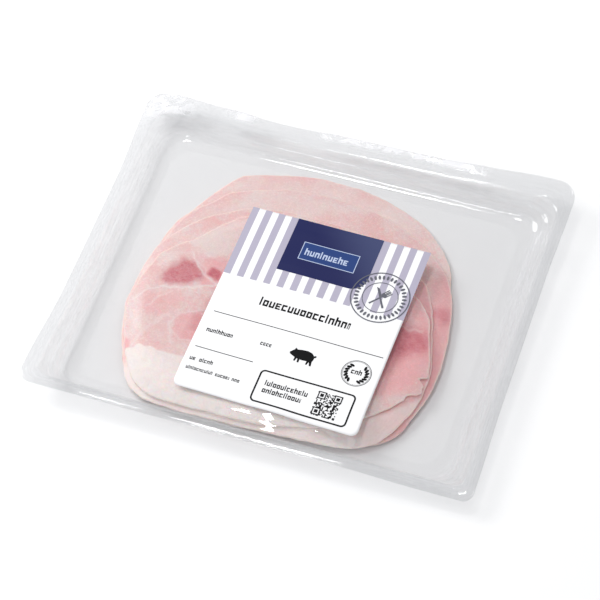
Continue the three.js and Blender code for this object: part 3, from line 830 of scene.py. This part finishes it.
# ---- print ---------------------------------------------------------------------------------
# Every place on the label is in millimetres right of and in front of its back left corner.
# A box is its left, back, right and front, and a radius of 0.01 leaves a corner sharp.
STRIPE_COUNT = 14
PANEL, PANEL_RADII = (21.3, 0.0, 60.7, 28.3), (0.01, 0.01, 0.01, 7.0)
PANEL_FRAME, FRAME_WIDTH, FRAME_RADIUS = (28.0, 10.9, 53.6, 20.4), 0.35, 0.05
NOTE_BOX, NOTE_WIDTH, NOTE_RADII = (33.5, 78.4, 76.1, 94.6), 0.75, (2.2, 1.5)
RULES = [(3.6, 57.0, 80.1, 57.35), (2.6, 76.3, 28.7, 76.65)]
STAMP_CENTRE, STAMP_RADII, STAMP_WIDTHS = (68.7, 28.6), (12.95, 7.85), (0.5, 0.3)
STAMP_DASHES = 36
SEAL_CENTRE, SEAL_RADII, SEAL_WIDTHS = (71.9, 68.0), (6.5, 6.0), (0.25, 0.15)
SEAL_WORD = (69.5, 74.3, 68.6, 2.4)
CODE_BOX, CODE_CELLS, CODE_FINDER = (60.2, 81.0, 70.9, 92.4), 21, 7
# A word is its left, right, baseline and letter height.
PANEL_WORD = (30.0, 49.5, 17.6, 3.4)
TITLE = (20.6, 61.5, 48.2, 4.1)
WORDS = [(4.1, 15.9, 67.9, 2.1), (28.3, 33.6, 67.2, 1.9), (2.6, 5.7, 83.6, 2.0), (6.9, 13.0, 83.6, 2.0),
         (2.7, 14.6, 88.2, 1.7), (15.9, 22.2, 88.2, 1.7), (23.4, 26.9, 88.2, 1.7),
         (37.2, 56.7, 85.6, 2.5), (37.2, 54.4, 89.2, 2.5)]
PIG = [(41.7, 66.6), (42.6, 65.6), (43.3, 64.9), (43.6, 63.9), (44.6, 64.6), (46.5, 64.2), (49.0, 64.0),
       (51.0, 64.5), (52.3, 65.7), (52.9, 65.2), (53.4, 65.6), (53.1, 66.3), (52.6, 66.5), (52.5, 67.8),
       (52.2, 68.6), (52.5, 70.9), (51.7, 71.0), (51.2, 69.4), (50.9, 69.3), (50.6, 70.7), (49.9, 70.7),
       (50.0, 69.0), (47.5, 69.2), (46.9, 69.0), (46.9, 70.7), (46.1, 70.7), (45.9, 69.0), (45.5, 68.9),
       (45.1, 70.4), (44.4, 70.3), (44.5, 68.6), (43.6, 68.2), (42.7, 67.8), (41.8, 67.3)]
KNIFE = [[(-5.6, -0.45), (0, -0.35), (0, 0.35), (-5.6, 0.45)],
         [(0, -0.35), (1, -0.8), (4.6, -0.7), (5.8, 0.3), (0, 0.35)]]
FORK = [[(-5.6, -0.35), (1.6, -0.28), (1.6, 0.28), (-5.6, 0.35)],
        [(1.6, -1.3), (2.8, -1.3), (2.8, 1.3), (1.6, 1.3), (1.1, 0.6), (1.1, -0.6)],
        *([(2.8, v), (5.4, v), (5.4, v + 0.38), (2.8, v + 0.38)] for v in (-1.3, -0.51, 0.13, 0.92))]
# Plain strokes in a unit cell, which stand for letters and spell nothing: left, foot, right, top.
STROKES = [
    [(0, 0, 0.32, 1), (0.68, 0, 1, 1), (0.32, 0.72, 0.68, 1), (0.32, 0, 0.68, 0.28)],
    [(0, 0, 0.32, 1), (0.68, 0, 1, 1), (0.32, 0.72, 0.68, 1)],
    [(0, 0, 0.32, 1), (0.68, 0, 1, 1), (0.32, 0, 0.68, 0.28)],
    [(0, 0, 0.32, 1), (0.32, 0.72, 0.95, 1), (0.32, 0, 0.95, 0.28)],
    [(0, 0, 0.32, 1), (0.32, 0.78, 1, 1), (0.32, 0.38, 0.85, 0.62), (0.32, 0, 1, 0.22)],
    [(0, 0, 0.34, 1.38), (0.68, 0, 1, 1), (0.34, 0.72, 0.68, 1)],
    [(0.05, 0, 0.75, 1.38)],
]
# Height of the small letters, widths of the last and of every other stroke cell, and the space after it.
LOW_LETTER, NARROW_LETTER, WIDE_LETTER, LETTER_SPACE = 0.78, 0.24, 0.56, 0.13
SHORTEST_STROKE = 0.2


def on_label(u, v):
    """Label point in metres from its centre."""
    sizes = pack_sizes()
    return u * MM - sizes.label_width / 2, sizes.label_depth / 2 - v * MM


def rectangle(left, back, right, front):
    (x0, y1), (x1, y0) = on_label(left, back), on_label(right, front)
    return [(x0, y0), (x1, y0), (x1, y1), (x0, y1)]


def rounded_box(box, *radii):
    """Outline with one radius, or one each for its back right, back left, front left and front right."""
    (x0, y1), (x1, y0) = on_label(*box[:2]), on_label(*box[2:])
    radii = [radius * MM for radius in radii] * (4 // len(radii))
    return [tuple(point) for point in rounded_loop((x0, x1, y0, y1), radii, 2)]


def inset_box(box, width):
    left, back, right, front = box
    return left + width, back + width, right - width, front - width


def band(outer, inner):
    """Quads between two loops of the same number of points."""
    count = len(outer)
    return [[outer[i], outer[(i + 1) % count], inner[(i + 1) % count], inner[i]] for i in range(count)]


def circle_lines(centre, radii, widths, steps=72):
    """Circles about a place on the label, each drawn from its radius inwards."""
    x, y = on_label(*centre)
    turns = [math.tau * i / steps for i in range(steps)]
    lines = []
    for radius, width in zip(radii, widths):
        lines += band(*([(x + r * MM * math.cos(turn), y + r * MM * math.sin(turn)) for turn in turns]
                        for r in (radius, radius - width)))
    return lines


def dummy_word(left, right, baseline, height, rng):
    """A word's place filled with strokes that carry no lettering; height is that of its capitals."""
    blocks, at, low = [], left, LOW_LETTER * height
    while at < right - SHORTEST_STROKE * height:
        pick = int(rng.integers(len(STROKES)))
        wide = NARROW_LETTER if pick == len(STROKES) - 1 else WIDE_LETTER
        wide = min(wide * height, right - at)
        for x0, y0, x1, y1 in STROKES[pick]:
            blocks.append(rectangle(at + x0 * wide, baseline - y1 * low, at + x1 * wide, baseline - y0 * low))
        at += wide + LETTER_SPACE * height
    return blocks


def turned_to(outlines, centre, turn):
    """Outlines about their own middle in millimetres, turned and moved to a place on the label."""
    x, y = on_label(*centre)
    c, s = math.cos(turn) * MM, math.sin(turn) * MM
    return [[(x + u * c - v * s, y + u * s + v * c) for u, v in outline] for outline in outlines]


def flat_mesh(polygons):
    flat = bmesh.new()
    for polygon in polygons:
        flat.faces.new([flat.verts.new((x, y, 0)) for x, y in polygon])
    flat.normal_update()
    return flat


def lay_on_label(name, flat, material, layer=0):
    """Splits flat print on a fine grid and lays it on the label's curved face."""
    bmesh.ops.triangulate(flat, faces=flat.faces[:])
    sizes = pack_sizes()
    for normal, width in ((Vector((1, 0, 0)), sizes.label_width), (Vector((0, 1, 0)), sizes.label_depth)):
        for cut in np.arange(-width / 2, width / 2, PRINT_STEP):
            everything = flat.verts[:] + flat.edges[:] + flat.faces[:]
            bmesh.ops.bisect_plane(flat, geom=everything, dist=1e-7, plane_co=normal * cut, plane_no=normal)
    bmesh.ops.remove_doubles(flat, verts=flat.verts[:], dist=1e-6)
    mesh = bpy.data.meshes.new(name)
    flat.to_mesh(mesh)
    flat.free()
    u, v = np.array([vertex.co[:2] for vertex in mesh.vertices]).T
    laid = np.column_stack(label_surface(u, v, PRINT_LIFT * (1 + layer)))
    mesh.vertices.foreach_set("co", laid.ravel())
    mesh.materials.clear()
    mesh.materials.append(material)
    mesh.update()
    piece = bpy.data.objects.new(name, mesh)
    bpy.context.scene.collection.objects.link(piece)
    carry(piece, "label_paper")


def mark_tree(name, **inputs):
    """A geometry node tree with inputs of each kind, its way of adding nodes, and its inputs."""
    tree = bpy.data.node_groups.new(name, "GeometryNodeTree")
    for kind, labels in inputs.items():
        for label in labels:
            tree.interface.new_socket(label, in_out="INPUT", socket_type="NodeSocket" + kind)
    tree.interface.new_socket("Geometry", in_out="OUTPUT", socket_type="NodeSocketGeometry")
    add = partial(add_node, tree)
    return tree, add, add("NodeGroupInput").node.outputs


def finish_marks(add, ink, copied):
    """Puts a mark on each point, makes the copies real and gives them their ink."""
    copies = add("GeometryNodeInstanceOnPoints", copied)
    real = add("GeometryNodeRealizeInstances", {"Geometry": copies})
    inked = add("GeometryNodeSetMaterial", {"Geometry": real, "Material": ink})
    add("NodeGroupOutput", {"Geometry": inked})


def mark_grid_nodes():
    """Marks on a grid, of which a seeded share is kept."""
    tree, add, given = mark_tree(
        "mark_grid", Int=("Columns", "Rows", "Seed"),
        Float=("Pitch X", "Pitch Y", "Mark Width", "Mark Depth", "Share Kept"), Material=("Ink",))
    across = add("ShaderNodeCombineXYZ", {"X": given["Pitch X"]})
    along = add("ShaderNodeCombineXYZ", {"Y": given["Pitch Y"]})
    row = add("GeometryNodeMeshLine", {"Count": given["Columns"], "Offset": across})
    column = add("GeometryNodeMeshLine", {"Count": given["Rows"], "Offset": along})
    rows = add("GeometryNodeInstanceOnPoints", {"Points": column, "Instance": row})
    grid = add("GeometryNodeRealizeInstances", {"Geometry": rows})
    chance = add("FunctionNodeRandomValue", {"Seed": given["Seed"]}, 1)
    dropped = add("FunctionNodeCompare", {"A": chance, "B": given["Share Kept"]},
                  data_type="FLOAT", operation="GREATER_THAN")
    kept = add("GeometryNodeDeleteGeometry", {"Geometry": grid, "Selection": dropped})
    mark = add("GeometryNodeMeshGrid", {"Size X": given["Mark Width"], "Size Y": given["Mark Depth"],
                                        "Vertices X": 2, "Vertices Y": 2})
    finish_marks(add, given["Ink"], {"Points": kept, "Instance": mark})
    return tree


def mark_ring_nodes():
    """Marks along an arc, each turned to face its centre."""
    tree, add, given = mark_tree(
        "mark_ring", Int=("Count",),
        Float=("Radius", "Start", "Sweep", "Mark Width", "Mark Depth", "Lean"), Material=("Ink",))
    arc = add("GeometryNodeCurveArc", {"Resolution": given["Count"], "Radius": given["Radius"],
                                       "Start Angle": given["Start"], "Sweep Angle": given["Sweep"]})
    points = add("GeometryNodeCurveToPoints", {0: arc}, mode="EVALUATED")
    place = add("ShaderNodeSeparateXYZ", {"Vector": add("GeometryNodeInputPosition")}).node.outputs
    facing = add("ShaderNodeMath", {0: place["Y"], 1: place["X"]}, operation="ARCTAN2")
    facing = add("ShaderNodeMath", {0: facing, 1: given["Lean"]}, operation="ADD")
    rotation = add("ShaderNodeCombineXYZ", {"Z": facing})
    mark = add("GeometryNodeMeshCircle", {"Vertices": 8, "Radius": 0.5}, fill_type="NGON")
    shape = add("ShaderNodeCombineXYZ", {"X": given["Mark Depth"], "Y": given["Mark Width"], "Z": 1.0})
    lozenge = add("GeometryNodeTransform", {"Geometry": mark, "Scale": shape})
    finish_marks(add, given["Ink"], {"Points": points, "Instance": lozenge, "Rotation": rotation})
    return tree


def marks_from(tree, centre, ink, **values):
    """Runs a tree of marks once and returns the flat result as a bmesh about a place on the label."""
    holder = bpy.data.objects.new("marks", bpy.data.meshes.new("marks"))
    bpy.context.scene.collection.objects.link(holder)
    modifier = holder.modifiers.new("marks", "NODES")
    modifier.node_group = tree
    sockets = {item.name: item.identifier for item in tree.interface.items_tree if item.in_out == "INPUT"}
    for name, value in {**values, "Ink": ink}.items():
        modifier[sockets[name.replace("_", " ")]] = value
    evaluated = holder.evaluated_get(bpy.context.evaluated_depsgraph_get())
    mesh = bpy.data.meshes.new_from_object(evaluated)
    flat = bmesh.new()
    flat.from_mesh(mesh)
    bmesh.ops.translate(flat, verts=flat.verts[:], vec=(*on_label(*centre), 0))
    bpy.data.objects.remove(holder)
    bpy.data.meshes.remove(mesh)
    return flat


class HAMPACK_OT_print(bpy.types.Operator):
    """Stripes, panel, rules, plain blocks for words, and marks printed on the label"""
    bl_idname = "hampack.print"
    bl_label = "Label print"

    def execute(self, context):
        sizes, colours = pack_sizes(), pack_colours()
        lavender = printed("lavender_stripe_ink", colours.lavender)
        # The panel's inks are laid on densely and fill the paper's coating, so they mirror more sharply.
        # The navy is given a painted sheen, paler towards its back right.
        navy = printed("navy_panel_ink", colours.navy, 0.3, sheen=colours.navy_painted_sheen)
        blue = printed("blue_panel_ink", colours.panel_blue, 0.3)
        line = printed("pale_line_ink", colours.panel_line)
        # Thin strokes of black sink into the coating and stay dull, which keeps them dark.
        black = printed("black_print_ink", colours.black, gloss=0.1)
        grey = printed("grey_stamp_ink", colours.grey)
        paper = printed("bare_label_paper", colours.paper, COATING_ROUGHNESS)
        grid, ring = mark_grid_nodes(), mark_ring_nodes()

        pitch, depth = sizes.stripe_pitch, sizes.stripe_depth
        stripes = marks_from(grid, (pitch / MM / 4, depth / MM / 2), lavender, Columns=STRIPE_COUNT, Rows=1,
                             Pitch_X=pitch, Pitch_Y=0.0, Mark_Width=pitch / 2, Mark_Depth=depth,
                             Share_Kept=1.0, Seed=0)
        lay_on_label("print_stripes", stripes, lavender)

        lay_on_label("print_panel", flat_mesh([rounded_box(PANEL, *PANEL_RADII)]), navy, 1)
        frame_out = rounded_box(PANEL_FRAME, FRAME_RADIUS)
        frame_in = rounded_box(inset_box(PANEL_FRAME, FRAME_WIDTH), FRAME_RADIUS)
        lay_on_label("print_panel_field", flat_mesh([frame_in]), blue, 2)
        rng = np.random.default_rng(8)
        word = dummy_word(*PANEL_WORD, rng)
        lay_on_label("print_panel_frame", flat_mesh(band(frame_out, frame_in) + word), line, 3)

        lines = []
        for place in (TITLE, *WORDS):
            lines += dummy_word(*place, rng)
        lines += [rectangle(*rule) for rule in RULES]
        lines += band(rounded_box(NOTE_BOX, NOTE_RADII[0]),
                      rounded_box(inset_box(NOTE_BOX, NOTE_WIDTH), NOTE_RADII[1]))
        lines.append([on_label(u, v) for u, v in reversed(PIG)])
        lines += circle_lines(SEAL_CENTRE, SEAL_RADII, SEAL_WIDTHS)
        lines += dummy_word(*SEAL_WORD, rng)
        lay_on_label("print_lines", flat_mesh(lines), black)

        left, back, right, front = CODE_BOX
        cell, cell_depth = (right - left) / CODE_CELLS, (front - back) / CODE_CELLS
        blocks = marks_from(grid, (left, front), black, Columns=CODE_CELLS, Rows=CODE_CELLS,
                            Pitch_X=cell * MM, Pitch_Y=cell_depth * MM, Mark_Width=cell * MM,
                            Mark_Depth=cell_depth * MM, Share_Kept=0.52, Seed=4)
        lay_on_label("print_blocks", blocks, black)
        blanks, squares, wide = [], [], CODE_FINDER * cell
        for u, v in ((left, back), (right - wide, back), (left, front - wide)):
            outer, inner, core = (rounded_box(inset_box((u, v, u + wide, v + wide), i * cell), 0.01)
                                  for i in range(3))
            blanks.append(outer)
            squares += band(outer, inner) + [core]
        lay_on_label("print_code_blanks", flat_mesh(blanks), paper, 1)
        lay_on_label("print_code_squares", flat_mesh(squares), black, 2)

        for name, start in (("right", -1.05), ("left", math.pi - 0.85)):
            leaves = marks_from(ring, SEAL_CENTRE, black, Count=7, Radius=4.5 * MM, Start=start, Sweep=1.9,
                                Mark_Width=1.25 * MM, Mark_Depth=2.4 * MM, Lean=0.6)
            lay_on_label("print_seal_" + name, leaves, black)

        stamp = circle_lines(STAMP_CENTRE, STAMP_RADII, STAMP_WIDTHS)
        stamp += turned_to(KNIFE, STAMP_CENTRE, 2.08) + turned_to(FORK, STAMP_CENTRE, 0.85)
        lay_on_label("print_stamp", flat_mesh(stamp), grey, 3)
        dashes = marks_from(ring, STAMP_CENTRE, grey, Count=STAMP_DASHES, Radius=sum(STAMP_RADII) / 2 * MM,
                            Start=0.0, Sweep=math.tau * (STAMP_DASHES - 1) / STAMP_DASHES,
                            Mark_Width=1.1 * MM, Mark_Depth=2.2 * MM, Lean=0.0)
        lay_on_label("print_stamp_dashes", dashes, grey, 3)
        return {"FINISHED"}


# ---- stage ---------------------------------------------------------------------------------
# Directions are azimuth from the front and elevation, in degrees; lengths are in metres.
CAMERA_LENS = 162.0              # millimetres
CAMERA_DIRECTION, CAMERA_DISTANCE, CAMERA_ROLL = (23.0, 55.2), 1.168, -5.2
CAMERA_TARGET = (-1.12 * MM, -2.87 * MM, 0.0)
# Name, direction, distance, size and watts.
LIGHTS = [("overhead", (228, 74), 2.6, (0.3, 0.22), 11), ("front_strip", (337, 60), 2.6, (0.2, 0.8), 6.5),
          ("back_left", (256, 40), 1.1, (0.5, 0.4), 6.3)]
WORLD_COLOUR, WORLD_STRENGTH = (0.97, 0.98, 1.0, 1), 0.6
FLOOR_REACH = 3.0


def aim(thing, direction, distance, target=(0, 0, 0), roll=0.0):
    """Adds a light or camera to the scene, looking at a target from a direction and distance."""
    azimuth, elevation = (math.radians(angle) for angle in direction)
    back = Vector((math.sin(azimuth) * math.cos(elevation), -math.cos(azimuth) * math.cos(elevation),
                   math.sin(elevation)))
    thing.location = Vector(target) + back * distance
    thing.rotation_mode = "QUATERNION"
    thing.rotation_quaternion = ((-back).to_track_quat("-Z", "Y")
                                 @ Quaternion((0, 0, 1), math.radians(roll)))
    bpy.context.scene.collection.objects.link(thing)


class HAMPACK_OT_stage(bpy.types.Operator):
    """Pale floor, soft studio light and the camera"""
    bl_idname = "hampack.stage"
    bl_label = "Studio"

    def execute(self, context):
        scene = context.scene
        # Matt white background board, which scatters evenly and shows no glint of the lights.
        board, add = new_material("studio_floor")
        add("ShaderNodeOutputMaterial", {"Surface": add("ShaderNodeBsdfDiffuse",
                                                        {"Color": pack_colours().floor})})
        corners = [(x * FLOOR_REACH, y * FLOOR_REACH, 0) for x, y in ((-1, -1), (1, -1), (1, 1), (-1, 1))]
        floor = new_piece("floor", corners, [(0, 1, 2, 3)], [board])

        world = bpy.data.worlds.new("studio")
        world.use_nodes = True
        background = world.node_tree.nodes["Background"]
        background.inputs["Color"].default_value = WORLD_COLOUR
        background.inputs["Strength"].default_value = WORLD_STRENGTH
        scene.world = world
        for name, direction, distance, size, watts in LIGHTS:
            softbox = bpy.data.lights.new(name, "AREA")
            softbox.shape = "RECTANGLE"
            softbox.size, softbox.size_y = size
            softbox.energy = watts
            aim(bpy.data.objects.new(name, softbox), direction, distance)

        camera = bpy.data.objects.new("camera", bpy.data.cameras.new("camera"))
        camera.data.lens = CAMERA_LENS
        aim(camera, CAMERA_DIRECTION, CAMERA_DISTANCE, CAMERA_TARGET, CAMERA_ROLL)
        scene.camera = camera
        # Light crosses up to a dozen faces of clear sheet before it reaches the floor.
        scene.cycles.transparent_max_bounces = 32
        scene.view_settings.view_transform = "Standard"
        return {"FINISHED"}


# ---- add-on --------------------------------------------------------------------------------
class HAMPACK_PT_panel(bpy.types.Panel):
    """Lists the pieces of the pack"""
    bl_idname = "HAMPACK_PT_panel"
    bl_label = "Ham pack"
    bl_space_type = "VIEW_3D"
    bl_region_type = "UI"
    bl_category = "Ham pack"

    def draw(self, context):
        for operator in OPERATORS:
            self.layout.operator(operator.bl_idname)
        for group in (pack_sizes(), pack_colours()):
            for field in group.bl_rna.properties:
                if field.identifier not in {"rna_type", "name"}:
                    self.layout.prop(group, field.identifier)


OPERATORS = (HAMPACK_OT_stage, HAMPACK_OT_tray, HAMPACK_OT_ham, HAMPACK_OT_film, HAMPACK_OT_label,
             HAMPACK_OT_print)
CLASSES = (HamPackSizes, HamPackColours, *OPERATORS, HAMPACK_PT_panel)


def register():
    for cls in CLASSES:
        bpy.utils.register_class(cls)
    bpy.types.Scene.ham_pack_sizes = bpy.props.PointerProperty(type=HamPackSizes)
    bpy.types.Scene.ham_pack_colours = bpy.props.PointerProperty(type=HamPackColours)


def unregister():
    del bpy.types.Scene.ham_pack_sizes
    del bpy.types.Scene.ham_pack_colours
    for cls in reversed(CLASSES):
        bpy.utils.unregister_class(cls)


def main():
    register()
    bpy.ops.hampack.stage()
    bpy.ops.hampack.tray()
    bpy.ops.hampack.ham()
    bpy.ops.hampack.film()
    bpy.ops.hampack.label()
    bpy.ops.hampack.print()


if __name__ == "__main__":
    main()
